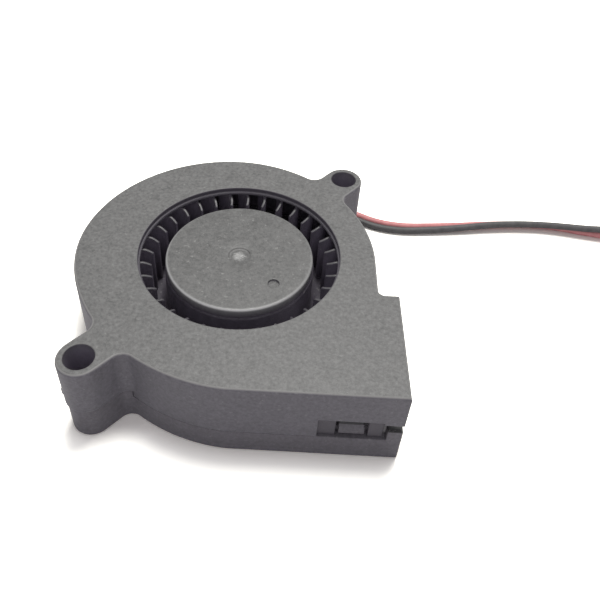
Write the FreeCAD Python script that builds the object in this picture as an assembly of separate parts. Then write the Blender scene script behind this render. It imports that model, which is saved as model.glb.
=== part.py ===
import FreeCAD, Part
import math
import os

# A small dc blower fan: a scroll housing in two mouldings with a mounting lug at
# two corners, a forward-curved impeller on an outer-rotor motor, and two leads.
# Millimetres, +Z up. The origin is the rotor axis on the underside of the base.
# +X points out of the outlet, and the inlet faces up.

V = FreeCAD.Vector
UP = V(0, 0, 1)

# Housing
height = 15.0
cover_thickness = 1.3
wall = 1.3
floor_thickness = 1.5
seam_height = 4.7
seam_edge = 0.07
tongue_gap = 1.4
tongue_fillet = 1.0
tongue_tip_radius = 0.5
# growth of the scroll over its right wall, every thirty degrees from the tongue side round to the front
volute_step = 30.0
volute_growth = (0.0, 0.05, 0.95, 2.15, 3.05, 3.85, 4.3, 3.8, 3.9)
front_growth = 4.75
outlet_reach = 3.2
outlet_width = 18.85
inlet_radius = 16.05
inlet_ledge = 0.25
inlet_ledge_depth = 0.8
inlet_edge = 0.12
rim_edge = 0.4
foot_edge = 0.25
assembly_gap = 0.1

# Mounting lugs: each hole's distance in from the walls in X and Y
front_lug_inset = V(1.55, 4.05, 0)
rear_lug_inset = V(4.55, 1.8, 0)
lug_hole_radius = 2.25
shell_lug_wall = 1.05
base_lug_wall = 0.8
lug_seam = 6.4
lug_fillet = 2.0
gate_stub_radius = 0.5
gate_stub_height = 0.9

# Snap joints of the front wall and the back
window_setback = 7.2
window_width = 4.7
window_headroom = 1.8
recess_margin = 2.6
recess_rise = 0.4
recess_depth = 0.5
nub_side_gap = 0.5
nub_lift = 0.5
nub_height = 1.5
nub_face = 0.8
nub_reach = 0.9
tab_thickness = 1.0
tab_rise = 0.3
rear_snap_angle = 122.0
rear_snap_gap = 0.25

# Corner of the front wall
notch_width = 2.75
notch_rise = 3.7
slit_width = 0.6
post_drop = 1.5

# Locating lip of the base
lip_height = 0.9
lip_thickness = 0.6

# Impeller
blade_count = 33
blade_thickness = 0.45
blade_inner_radius = 14.3
blade_outer_radius = 19.1
blade_stagger = 22.0
blade_turn = 76.0
blade_phase = 2.0
blade_chamfer_run = 1.5
blade_chamfer_drop = 0.6
blade_gap = 0.5
rim_margin = 0.25
top_ring_width = 0.8
top_ring_height = 0.8
plate_gap = 1.6
plate_thickness = 0.8
hub_recess = 1.0
hub_top_thickness = 1.2
hub_wall = 1.0
hub_edge_radius = 0.45
hub_step_drop = 1.9
hub_step = 0.2
hub_flare_radius = 1.6
gate_dimple_radius = 1.75
gate_dimple_depth = 0.15
balance_hole = V(5.8, -5.9, 0)
balance_hole_radius = 1.0
balance_hole_depth = 0.35
guard_ring_gap = 0.2
guard_ring_wall = 0.8
guard_ring_headroom = 0.5

# Rotor of the motor
fit_gap = 0.05
yoke_wall = 0.8
magnet_thickness = 1.2
magnet_lift = 0.4
magnet_headroom = 1.45
air_gap = 0.5
shaft_radius = 1.0
shaft_cover = 0.7
shaft_running_gap = 0.03
bush_radius = 2.6
bush_length = 1.15
ring_lift = 1.05
ring_width = 0.8
ring_thickness = 0.35
ring_groove_depth = 0.2
ring_gap = 0.35

# Bearing
bearing_socket = 0.5
tube_bore = 2.45
tube_wall = 0.75
tube_headroom = 0.4
washer_recess = 0.5
washer_thickness = 0.35
washer_clearance = 0.3
thrust_plate_thickness = 0.4
boss_wall = 1.2

# Stator
stator_radius = 8.4
stator_headroom = 1.25
stator_hub_wall = 1.0
pole_count = 4
pole_neck = 2.2
pole_shoe = 0.9
pole_span = 68.0
insulator_thickness = 0.5
insulator_margin = 0.2
insulator_inset = 0.2
flange_height = 0.9
collar_wall = 0.4
winding_thickness = 1.1
winding_gap = 0.1
winding_offset = 0.5
winding_lift = 0.3

# Circuit board
board_gap = 0.9
board_thickness = 1.0
board_clearance = 0.4
chip_height = 1.1
chip_circle = 6.6
driver_circle = 6.9
pin_radius = 0.35
pin_foot = 0.4

# Leads
lead_diameter = 1.3
channel_spare = 0.5
channel_headroom = 0.4
channel_roof = 1.0
channel_mouth = 3.1
coil_centre = V(83.0, 32.35, 0)
coil_turn_radii = (6.85, 8.2)
coil_layer = 1.35
coil_base = 0.15
lead_stop = 5.0

# Connector on the leads
plug_length = 7.5
plug_width = 5.9
plug_height = 4.6
plug_pitch = 2.0
plug_start = V(96.5, 24.15, 0)
plug_back = 1.0
plug_edge = 0.3
rib_height = 0.5
rib_inset = 0.6
rib_wall = 0.5
contact_width = 1.0
contact_recess = 0.9
contact_wall = 0.22
contact_back = 1.4

# Outlines that follow from the sizes above
impeller_radius = blade_outer_radius + rim_margin
right_wall = impeller_radius + tongue_gap + wall
front_wall = right_wall + front_growth
outlet_plane = right_wall + outlet_reach
volute_radii = [right_wall + growth for growth in volute_growth]
inlet_rim_radius = inlet_radius + inlet_ledge
shell_lug_radius = lug_hole_radius + shell_lug_wall
base_lug_radius = lug_hole_radius + base_lug_wall
lug_holes = (V(front_lug_inset.x - right_wall, front_lug_inset.y - front_wall, 0),
             V(right_wall - rear_lug_inset.x, right_wall - rear_lug_inset.y, 0))
hub_inner_radius = stator_radius + air_gap + magnet_thickness + yoke_wall + 2 * fit_gap
hub_radius = hub_inner_radius + hub_wall
tube_radius = tube_bore + tube_wall
stator_hub_radius = tube_radius + stator_hub_wall
board_radius = hub_inner_radius - board_clearance

# Levels that follow from the sizes above
board_bottom = floor_thickness + board_gap
board_top = board_bottom + board_thickness
plate_bottom = floor_thickness + plate_gap
plate_top = plate_bottom + plate_thickness
blade_top = height - cover_thickness - blade_gap
hub_top = height - hub_recess
hub_ceiling = hub_top - hub_top_thickness
yoke_top = hub_ceiling - fit_gap
bearing_seat = floor_thickness - bearing_socket
shaft_bottom = bearing_seat + thrust_plate_thickness + fit_gap
shaft_top = hub_top - shaft_cover
ring_bottom = shaft_bottom + ring_lift
bush_bottom = yoke_top - bush_length
tube_top = bush_bottom - tube_headroom
bearing_bottom = ring_bottom + ring_thickness + ring_gap
bearing_top = tube_top - washer_recess
stator_bottom = board_top + winding_lift + winding_thickness + winding_gap + insulator_thickness
stator_top = yoke_top - yoke_wall - stator_headroom - winding_thickness - winding_gap - insulator_thickness
window_right = outlet_plane - window_setback + window_width / 2
window_left = window_right - window_width
nub_length = window_width - 2 * nub_side_gap
nub_bottom = seam_height + nub_lift
nub_top = nub_bottom + nub_height
window_top = nub_top + window_headroom
recess_top = window_top + recess_rise
notch_left = outlet_plane - notch_width
notch_top = seam_height + notch_rise
channel_width = 2 * lead_diameter + channel_spare
channel_depth = lead_diameter + channel_headroom

made = {}


def keep(name, shape):
    """Check one finished sub-part and write it."""
    solid = shape.Solids[0] if len(shape.Solids) == 1 else shape
    if not solid.isValid():
        raise ValueError(name + " is not a valid solid")
    made[name] = solid
    solid.exportStep("parts/" + name + ".step")


def polar(radius, degrees, z=0.0):
    """Point at a radius and an angle round the rotor axis."""
    angle = math.radians(degrees)
    return V(radius * math.cos(angle), radius * math.sin(angle), z)


def prism(wire, bottom, top):
    """Upright solid on a closed flat outline."""
    face = Part.Face(wire)
    face.translate(V(0, 0, bottom - wire.BoundBox.ZMin))
    return face.extrude(V(0, 0, top - bottom))


def block(x0, x1, y0, y1, z0, z1):
    """Box between two corners."""
    return Part.makeBox(x1 - x0, y1 - y0, z1 - z0, V(x0, y0, z0))


def disc(radius, bottom, top, centre=V(0, 0, 0)):
    """Upright cylinder."""
    return Part.makeCylinder(radius, top - bottom, V(centre.x, centre.y, bottom))


def ring(outer, inner, bottom, top, centre=V(0, 0, 0)):
    """Upright tube."""
    return disc(outer, bottom, top, centre).cut(disc(inner, bottom - 1, top + 1, centre))


def turned(profile):
    """Solid of revolution about the rotor axis from radius and height pairs."""
    points = [V(radius, 0, z) for radius, z in profile]
    wire = Part.makePolygon(points + [points[0]])
    return Part.Face(wire).revolve(V(0, 0, 0), UP, 360)


def edges_at(shape, x, y, reach):
    """Upright straight edges of a solid within reach of a point in plan."""
    found = []
    for edge in shape.Edges:
        box = edge.BoundBox
        upright = box.ZLength > 0.5 and box.XLength < 0.01 and box.YLength < 0.01
        if upright and math.hypot(box.XMin - x, box.YMin - y) < reach:
            found.append(edge)
    return found


def flat_edges_at(shape, z):
    """Edges of a solid that lie in one level plane."""
    return [e for e in shape.Edges if abs(e.BoundBox.ZMin - z) < 0.01 and e.BoundBox.ZLength < 0.01]


def scroll_edge(inset):
    """Spiral side of the scroll, moved inwards, from the right wall round to the front."""
    points = [polar(radius - inset, step * volute_step) for step, radius in enumerate(volute_radii)]
    points.append(V(0, inset - front_wall, 0))
    curve = Part.BSplineCurve()
    curve.interpolate(Points=points)
    return curve.toShape()


def outline(grow=0.0):
    """Outer outline of the housing without its lugs, grown outwards on all sides."""
    right = right_wall + grow
    front = -front_wall - grow
    mouth = outlet_plane + grow
    back = outlet_width - front_wall + grow
    low = V(right + tongue_fillet, back, 0)
    high = V(right, back + tongue_fillet, 0)
    middle = V(right + tongue_fillet, back + tongue_fillet, 0) + polar(tongue_fillet, 225)
    edges = [
        scroll_edge(-grow),
        Part.makeLine(V(0, front, 0), V(mouth, front, 0)),
        Part.makeLine(V(mouth, front, 0), V(mouth, back, 0)),
        Part.makeLine(V(mouth, back, 0), low),
        Part.Arc(low, middle, high).toShape(),
        Part.makeLine(high, V(right, 0, 0)),
    ]
    return Part.Wire(edges)


def cavity(inset, bottom, top):
    """Air space of the scroll and its outlet duct, moved in from the outer outline."""
    radius = right_wall - inset
    front = inset - front_wall
    back = outlet_width - front_wall - inset
    edges = [
        scroll_edge(inset),
        Part.makeLine(V(0, front, 0), V(0, -radius, 0)),
        Part.Arc(V(0, -radius, 0), polar(radius, -45), V(radius, 0, 0)).toShape(),
    ]
    scroll = prism(Part.Wire(edges), bottom, top)
    duct = block(0, outlet_plane + 1, front, back, bottom, top)
    air = scroll.fuse(duct).removeSplitter()
    tip = V(math.sqrt(radius ** 2 - back ** 2), back, 0)
    return air.makeFillet(tongue_tip_radius, edges_at(air, tip.x, tip.y, 0.3))


def lug(hole, radius, bottom, top):
    """Lug that runs from round its screw hole straight in to the scroll wall."""
    inward = V(-hole.x, -hole.y, 0).normalize()
    side = V(-inward.y, inward.x, 0) * radius
    root = hole + inward * (hole.Length - right_wall + wall)
    edges = [
        Part.Arc(hole + side, hole - inward * radius, hole - side).toShape(),
        Part.makeLine(hole - side, root - side),
        Part.makeLine(root - side, root + side),
        Part.makeLine(root + side, hole + side),
    ]
    return prism(Part.Wire(edges), bottom, top)


def lugged_body(body, radius, lug_bottom, lug_top):
    """Filled housing outline with both lugs and the hollow corners beside them."""
    plain = body
    for hole in lug_holes:
        body = body.fuse(lug(hole, radius, lug_bottom, lug_top))
    body = body.removeSplitter()
    corners = []
    for edge in body.Edges:
        box = edge.BoundBox
        upright = box.ZLength > 0.5 and box.XLength < 0.01 and box.YLength < 0.01
        near = min(math.hypot(box.XMin - hole.x, box.YMin - hole.y) for hole in lug_holes)
        on_wall = plain.distToShape(Part.Vertex(box.XMin, box.YMin, box.Center.z))[0] < 0.01
        if upright and near < 3 * radius and on_wall:
            corners.append(edge)
    return body.makeFillet(lug_fillet, corners)


def screw_holes(shape):
    """Cut the two clearance holes."""
    for hole in lug_holes:
        shape = shape.cut(disc(lug_hole_radius, -1, height + 1, hole))
    return shape


def add_gate_stub(body):
    """Cut-off moulding gate on the outer side of the front lug."""
    hole = lug_holes[0]
    spot = hole - V(shell_lug_radius, 0, 0)
    return body.fuse(disc(gate_stub_radius, lug_seam, lug_seam + gate_stub_height, spot))


def rear_zone(width, bottom, top):
    """Upright slab that crosses the wall at the rear snap joint."""
    slab = block(-width / 2, width / 2, -2 * right_wall, -right_wall / 2, bottom, top)
    slab.rotate(V(0, 0, 0), UP, rear_snap_angle - 270)
    return slab


def build_inlet_shell():
    """Upper moulding: cover, side walls, inlet, outlet and the upper half of the lugs."""
    body = lugged_body(prism(outline(), seam_height, height), shell_lug_radius, lug_seam, height)
    body = body.makeFillet(rim_edge, flat_edges_at(body, height))
    around = prism(outline(seam_edge), seam_height, seam_height + seam_edge)
    body = body.cut(around.cut(prism(outline(-seam_edge), seam_height - 1, height)))
    air = cavity(wall, seam_height - 1, height - cover_thickness)
    body = screw_holes(add_gate_stub(body).cut(air))
    under = height - cover_thickness - 1
    step = height - inlet_ledge_depth
    inlet = turned([
        (0, under), (inlet_radius, under), (inlet_radius, step - inlet_edge), (inlet_radius + inlet_edge, step),
        (inlet_rim_radius, step), (inlet_rim_radius, height - inlet_edge),
        (inlet_rim_radius + inlet_edge, height), (inlet_rim_radius + inlet_edge, height + 1), (0, height + 1),
    ])
    body = body.cut(inlet)
    face = -front_wall - 1
    recess = block(window_left - recess_margin, notch_left, face, recess_depth - front_wall, 0, recess_top)
    window = block(window_left, window_right, face, wall + 0.2 - front_wall, 0, window_top)
    notch = block(notch_left, outlet_plane + 1, face, wall + 0.2 - front_wall, 0, notch_top)
    body = body.cut(recess).cut(window).cut(notch)
    rear_recess = rear_zone(window_width + 2 * recess_margin, 0, recess_top)
    body = body.cut(rear_recess.cut(prism(outline(-recess_depth), -1, height + 1)))
    keep("inlet_shell", body.cut(rear_zone(window_width, 0, window_top)))


def lead_channel(spare, bottom, top):
    """Straight slot along the leads' way out of the base, a little wider by spare."""
    start = V(red_route[0].x + black_route[0].x, red_route[0].y + black_route[0].y, 0) * 0.5
    end = V(red_route[2].x + black_route[2].x, red_route[2].y + black_route[2].y, 0) * 0.5
    along = (end - start).normalize()
    half = V(-along.y, along.x, 0) * (channel_width / 2 + spare)
    start = start - along * (lead_diameter + spare)
    end = start + along * (2 * right_wall)
    corners = [start + half, end + half, end - half, start - half, start + half]
    return prism(Part.makePolygon(corners), bottom, top)


def front_snap(tab_back):
    """Tab behind the front window with its sloped nub."""
    left = window_left + nub_side_gap
    right = window_right - nub_side_gap
    tab = block(left, right, tab_back, tab_back + tab_thickness, floor_thickness, nub_top + tab_rise)
    profile = Part.makePolygon([
        V(left, tab_back, nub_bottom), V(left, tab_back - nub_reach, nub_bottom),
        V(left, tab_back - nub_reach, nub_bottom + nub_face), V(left, tab_back, nub_top),
        V(left, tab_back, nub_bottom),
    ])
    return tab.fuse(Part.Face(profile).extrude(V(nub_length, 0, 0)))


def rear_snap(inset):
    """The same tab and nub at the back, where they follow the scroll."""
    tab_zone = rear_zone(nub_length, floor_thickness, nub_top + tab_rise)
    nub_zone = rear_zone(nub_length, nub_bottom, nub_top)
    tab = cavity(inset, floor_thickness, height).cut(cavity(inset + tab_thickness, 0, height + 1))
    nub = cavity(inset - nub_reach, floor_thickness, height).cut(cavity(inset + tab_thickness / 2, 0, height + 1))
    return tab.common(tab_zone).fuse(nub.common(nub_zone))


def build_base_cover():
    """Lower moulding: floor, rim, lugs, snap tabs, bearing boss and the leads' channel."""
    body = lugged_body(prism(outline(), 0, lug_seam), base_lug_radius, 0, lug_seam)
    body = body.makeFillet(foot_edge, flat_edges_at(body, 0))
    body = body.cut(prism(outline(assembly_gap), seam_height, lug_seam + 1))
    body = body.cut(cavity(wall, floor_thickness, seam_height + 1))
    post = block(notch_left + slit_width, outlet_plane, -front_wall, wall - front_wall,
                 floor_thickness, notch_top - post_drop)
    body = body.fuse(post)
    lip_inset = wall + assembly_gap
    lip_top = seam_height + lip_height
    lip = cavity(lip_inset, floor_thickness, lip_top)
    lip = lip.cut(cavity(lip_inset + lip_thickness, 0, lip_top + 1))
    lip = lip.common(block(-2 * front_wall, right_wall, -front_wall, 2 * front_wall, 0, height))
    body = body.fuse(lip)
    body = body.fuse(front_snap(lip_inset - front_wall))
    body = body.fuse(rear_snap(wall + rear_snap_gap))
    rib = lead_channel(channel_roof, floor_thickness / 2, channel_depth + channel_roof)
    rib = rib.common(cavity(wall / 2, 0, height))
    body = body.fuse(rib.cut(disc(board_radius + board_clearance, floor_thickness, height)))
    body = body.fuse(disc(tube_radius + boss_wall, floor_thickness / 2, board_bottom))
    guard = hub_radius + guard_ring_gap
    body = body.fuse(ring(guard + guard_ring_wall, guard, floor_thickness / 2, plate_bottom - guard_ring_headroom))
    body = body.cut(disc(tube_radius + fit_gap, bearing_seat, board_bottom + 1))
    body = body.cut(lead_channel(0, -1, channel_depth))
    opening = lead_channel(0, -1, height).common(disc(board_radius + channel_mouth, -1, height))
    body = screw_holes(body.cut(opening).removeSplitter())
    keep("base_cover", body)


def blade():
    """One forward-curved blade: two arcs about one centre, with a sloped inner corner."""
    lean = math.radians(blade_stagger)
    half_turn = math.radians(blade_turn / 2)
    chord = math.sqrt(blade_outer_radius ** 2 - (blade_inner_radius * math.sin(lean)) ** 2)
    chord = chord - blade_inner_radius * math.cos(lean)
    camber = chord / 2 / math.sin(half_turn)
    middle = V(blade_inner_radius, 0, 0) + polar(chord / 2, blade_stagger)
    centre = middle + polar(camber * math.cos(half_turn), blade_stagger + 90)
    sides = []
    for radius in (camber - blade_thickness / 2, camber + blade_thickness / 2):
        angles = (blade_stagger - 90 - blade_turn / 2, blade_stagger - 90, blade_stagger - 90 + blade_turn / 2)
        sides.append([centre + polar(radius, angle) for angle in angles])
    low, high = sides
    edges = [
        Part.Arc(low[0], low[1], low[2]).toShape(),
        Part.makeLine(low[2], high[2]),
        Part.Arc(high[2], high[1], high[0]).toShape(),
        Part.makeLine(high[0], low[0]),
    ]
    solid = prism(Part.Wire(edges), plate_bottom + plate_thickness / 2, blade_top)
    corner = turned([
        (blade_inner_radius - 1, blade_top - blade_chamfer_drop * (1 + 1 / blade_chamfer_run)),
        (blade_inner_radius + blade_chamfer_run, blade_top),
        (blade_inner_radius + blade_chamfer_run, blade_top + 1),
        (blade_inner_radius - 1, blade_top + 1),
    ])
    return solid.cut(corner)


def build_impeller():
    """Hub cup, flared plate, ring of blades and the ring that ties the blade tips."""
    inner = hub_inner_radius
    wide = hub_radius + hub_step
    ceiling = hub_ceiling
    step = hub_top - hub_step_drop
    flare = [V(wide, 0, plate_top + hub_flare_radius),
             V(wide + hub_flare_radius * (1 - math.cos(math.radians(45))), 0,
               plate_top + hub_flare_radius * (1 - math.sin(math.radians(45)))),
             V(wide + hub_flare_radius, 0, plate_top)]
    crown = [V(hub_radius - hub_edge_radius, 0, hub_top),
             V(hub_radius - hub_edge_radius, 0, hub_top - hub_edge_radius) + V(0.7071, 0, 0.7071) * hub_edge_radius,
             V(hub_radius, 0, hub_top - hub_edge_radius)]
    corners = [V(hub_radius, 0, step + hub_step), V(wide, 0, step)]
    foot = [V(impeller_radius, 0, plate_top), V(impeller_radius, 0, plate_bottom), V(inner, 0, plate_bottom),
            V(inner, 0, ceiling), V(0, 0, ceiling), V(0, 0, hub_top)]
    edges = [
        Part.makeLine(foot[-1], crown[0]),
        Part.Arc(*crown).toShape(),
        Part.makeLine(crown[2], corners[0]),
        Part.makeLine(corners[0], corners[1]),
        Part.makeLine(corners[1], flare[0]),
        Part.Arc(*flare).toShape(),
        Part.makeLine(flare[2], foot[0]),
    ]
    for first, second in zip(foot, foot[1:]):
        edges.append(Part.makeLine(first, second))
    hub = Part.Face(Part.Wire(edges)).revolve(V(0, 0, 0), UP, 360)
    parts = []
    one = blade()
    for number in range(blade_count):
        copy = one.copy()
        copy.rotate(V(0, 0, 0), UP, blade_phase + number * 360 / blade_count)
        parts.append(copy)
    top_ring = ring(impeller_radius, impeller_radius - top_ring_width, blade_top - top_ring_height, blade_top)
    wheel = hub.multiFuse(parts + [top_ring])
    wheel = wheel.cut(disc(gate_dimple_radius, hub_top - gate_dimple_depth, hub_top + 1))
    wheel = wheel.cut(disc(balance_hole_radius, hub_top - balance_hole_depth, hub_top + 1, balance_hole))
    bush_seat = disc(shaft_radius + fit_gap, ceiling - 1, shaft_top + fit_gap)
    keep("impeller", wheel.cut(bush_seat))


def build_rotor():
    """Steel cup, magnet, shaft, bush and retaining ring that turn with the impeller."""
    cup = hub_inner_radius - fit_gap
    ceiling = yoke_top
    inside = cup - yoke_wall
    keep("rotor_yoke", turned([
        (bush_radius + fit_gap, ceiling), (cup, ceiling), (cup, plate_top), (inside, plate_top),
        (inside, ceiling - yoke_wall), (bush_radius + fit_gap, ceiling - yoke_wall),
    ]))
    outer = inside - fit_gap
    keep("magnet_ring", ring(outer, outer - magnet_thickness, plate_top + magnet_lift,
                             ceiling - yoke_wall - magnet_headroom))
    groove_top = ring_bottom + ring_thickness + fit_gap
    groove = ring(2 * shaft_radius, shaft_radius - ring_groove_depth, ring_bottom - fit_gap, groove_top)
    pin = disc(shaft_radius, shaft_bottom, shaft_top)
    ends = flat_edges_at(pin, shaft_bottom) + flat_edges_at(pin, shaft_top)
    keep("shaft", pin.makeFillet(0.2, ends).cut(groove))
    bore = shaft_radius + 0.01
    keep("shaft_bush", ring(bush_radius, bore, bush_bottom, ceiling))
    ring_radius = shaft_radius + ring_width
    clip = ring(ring_radius, shaft_radius - ring_groove_depth + 0.02, ring_bottom, ring_bottom + ring_thickness)
    gap = block(0, ring_radius + 1, -shaft_radius / 2, shaft_radius / 2, ring_bottom - 1, ring_bottom + 1)
    keep("retaining_ring", clip.cut(gap))


def build_bearing():
    """Brass tube in the base with its sleeve bearing, thrust plate and oil washer."""
    tube = ring(tube_radius, tube_bore, bearing_seat, tube_top)
    keep("bearing_tube", tube)
    keep("sleeve_bearing", ring(tube_bore - fit_gap, shaft_radius + shaft_running_gap, bearing_bottom, bearing_top))
    keep("thrust_plate", disc(tube_bore - fit_gap, bearing_seat, bearing_seat + thrust_plate_thickness))
    keep("oil_washer", ring(tube_bore - fit_gap, shaft_radius + washer_clearance, bearing_top + fit_gap,
                            bearing_top + fit_gap + washer_thickness))


def pole_shape(neck, shoe_inner, outer, hub, bottom, top):
    """Star of poles: a hub, straight necks and curved shoes."""
    body = disc(hub, bottom, top)
    for number in range(pole_count):
        neck_block = block(hub / 2, outer - pole_shoe / 4, -neck / 2, neck / 2, bottom, top)
        shoe_face = Part.Face(Part.makePolygon([
            V(shoe_inner, 0, bottom), V(outer, 0, bottom), V(outer, 0, top), V(shoe_inner, 0, top),
            V(shoe_inner, 0, bottom),
        ]))
        shoe_face.rotate(V(0, 0, 0), UP, -pole_span / 2)
        pole = neck_block.fuse(shoe_face.revolve(V(0, 0, 0), UP, pole_span))
        pole.rotate(V(0, 0, 0), UP, number * 360 / pole_count)
        body = body.fuse(pole)
    return body.removeSplitter()


def build_stator():
    """Four-pole core, an insulator above and below it, and a winding on each pole."""
    top = stator_top
    inner = tube_radius + fit_gap
    core = pole_shape(pole_neck, stator_radius - pole_shoe, stator_radius, stator_hub_radius, stator_bottom, top)
    keep("stator_core", core.cut(disc(inner, 0, height)))
    neck = pole_neck + 2 * insulator_margin
    shoe = stator_radius - pole_shoe
    for name, low, high, flange_low, flange_high in (
        ("bobbin_upper", top, top + insulator_thickness, top, top + flange_height),
        ("bobbin_lower", stator_bottom - insulator_thickness, stator_bottom,
         stator_bottom - flange_height, stator_bottom),
    ):
        plate = pole_shape(neck, shoe, stator_radius - insulator_inset, stator_hub_radius, low, high)
        rim = pole_shape(neck, shoe + winding_gap, shoe + winding_gap + collar_wall, stator_hub_radius,
                         flange_low, flange_high)
        keep_out = ring(shoe + winding_gap, inner + collar_wall, 0, height)
        body = plate.fuse(rim.cut(keep_out))
        if name == "bobbin_lower":
            body = body.fuse(disc(stator_hub_radius, board_top + fit_gap, high))
        keep(name, body.cut(disc(inner, 0, height)).removeSplitter())
    hole_side = neck / 2 + winding_gap
    hole_low = stator_bottom - insulator_thickness - winding_gap
    hole_high = top + insulator_thickness + winding_gap
    side = hole_side + winding_thickness
    reach = math.sqrt(shoe ** 2 - side ** 2) - winding_gap
    for number in range(pole_count):
        pack = block(stator_hub_radius + winding_offset, reach, -side, side,
                     hole_low - winding_thickness, hole_high + winding_thickness)
        long_edges = [e for e in pack.Edges if e.BoundBox.YLength < 0.01 and e.BoundBox.ZLength < 0.01]
        pack = pack.makeFillet(winding_thickness * 0.8, long_edges)
        pack = pack.cut(block(0, stator_radius, -hole_side, hole_side, hole_low, hole_high))
        pack.rotate(V(0, 0, 0), UP, number * 360 / pole_count)
        keep("winding_%d" % (number + 1), pack)


def build_board():
    """Circuit board round the bearing boss with its parts between the poles."""
    top = board_top
    board = ring(board_radius, tube_radius + 0.3, board_bottom, top)
    pin_circle = stator_radius - insulator_inset - pin_radius
    pins = []
    for angle in (90, 180, 360):
        spot = polar(pin_circle, angle - pole_span / 2 + 6)
        board = board.cut(disc(pin_radius + fit_gap, 0, height, spot))
        pins.append(disc(pin_radius, board_bottom - pin_foot, stator_bottom - flange_height, spot))
    keep("driver_board", board)
    keep("terminal_pins", Part.makeCompound(pins))
    ic_at = polar(driver_circle, 45)
    ic = block(-1.6, 1.6, -1.45, 1.45, top, top + chip_height)
    ic = ic.makeChamfer(0.15, flat_edges_at(ic, top + chip_height))
    ic.rotate(V(0, 0, 0), UP, 45)
    ic.translate(ic_at)
    keep("hall_driver_ic", ic)
    for name, angle, length, width, tall in (
        ("chip_capacitor", 130, 2.0, 1.25, 0.8),
        ("chip_resistor", 230, 1.6, 0.8, 0.5),
        ("reverse_diode", 310, 2.6, 1.5, 1.0),
    ):
        chip = block(-length / 2, length / 2, -width / 2, width / 2, top, top + tall)
        chip.rotate(V(0, 0, 0), UP, angle + 90)
        chip.translate(polar(chip_circle, angle))
        keep(name, chip)


# Both leads are routed by hand: out of the base beside the lug, then along the table.
red_route = (
    V(-1.69, 9.39, 1.72), V(2.51, 13.59, 0.95), V(10.11, 21.19, 0.95), V(18.35, 29.4, 0.66),
    V(27.5, 24.1, 0.66), V(40.0, 25.2, 0.66), V(50.5, 26.75, 0.66), V(60.0, 27.25, 0.66),
    V(70.0, 24.9, 0.7), V(78.0, 24.15, 0.8),
)
black_route = (
    V(-0.71, 8.41, 1.72), V(3.49, 12.61, 0.95), V(11.09, 20.21, 0.95), V(18.45, 27.6, 0.66),
    V(27.2, 22.65, 0.66), V(39.8, 23.85, 1.0), V(50.3, 25.7, 1.6), V(59.8, 26.2, 1.6),
    V(70.0, 24.4, 2.4), V(78.0, 24.15, 3.5),
)


def run_corner(before, corner, after):
    """Tangent points, middle and radius of the arc at one point of a route."""
    back = before - corner
    ahead = after - corner
    turn = math.pi - back.getAngle(ahead)
    reach = 0.45 * min(back.Length, ahead.Length)
    radius = reach / math.tan(turn / 2)
    first = corner + back.normalize() * reach
    last = corner + ahead.normalize() * reach
    bisector = (back + ahead).normalize()
    middle = corner + bisector * (radius / math.cos(turn / 2) - radius)
    return first, middle, last, radius, turn


def lead_tube(name, route):
    """Round lead along straight runs joined by tangent arcs."""
    edges = []
    here = route[0]
    radii = []
    for before, corner, after in zip(route, route[1:], route[2:]):
        first, middle, last, radius, turn = run_corner(V(before), V(corner), V(after))
        edges.append(Part.makeLine(here, first))
        edges.append(Part.Arc(first, middle, last).toShape())
        here = last
        radii.append(round(radius, 1))
    edges.append(Part.makeLine(here, route[-1]))
    path = Part.Wire(edges)
    section = Part.Wire(Part.Circle(route[0], route[1] - route[0], lead_diameter / 2).toShape())
    tube = path.makePipeShell([section], True, False)
    expected = math.pi * (lead_diameter / 2) ** 2 * path.Length
    print(name, "radii", radii, "length", round(path.Length, 1), "volume ratio", round(tube.Volume / expected, 4))
    keep(name, tube)


def coil_ring(name, bottom):
    """Outer shape of one lead's coiled length."""
    half = lead_diameter / 2
    inner = coil_turn_radii[0] - half
    outer = coil_turn_radii[-1] + half
    body = ring(outer, inner, bottom, bottom + 2 * coil_layer, coil_centre)
    edges = flat_edges_at(body, bottom) + flat_edges_at(body, bottom + 2 * coil_layer)
    keep(name, body.makeChamfer(half * 0.6, edges))


def build_leads():
    """Two leads, their coils and the short ends that go into the connector."""
    lead_tube("red_lead", red_route)
    lead_tube("black_lead", black_route)
    coil_ring("red_lead_coil", coil_base)
    coil_ring("black_lead_coil", coil_base + 2 * coil_layer)
    start = coil_centre.x + lead_stop
    level = plug_height / 2
    left = plug_start + V(0, plug_pitch / 2, level)
    right = plug_start + V(0, -plug_pitch / 2, level)
    row = coil_centre.y - coil_turn_radii[-1]
    low = V(start, row, coil_base + 1.5 * coil_layer)
    high = V(start, row, coil_base + 3.5 * coil_layer)
    lead_tube("red_lead_end", (low, V(start + 4.2, row + 0.6, level), left))
    lead_tube("black_lead_end", (high, V(start + 4.2, row - 0.6, 3.2), right))


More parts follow.
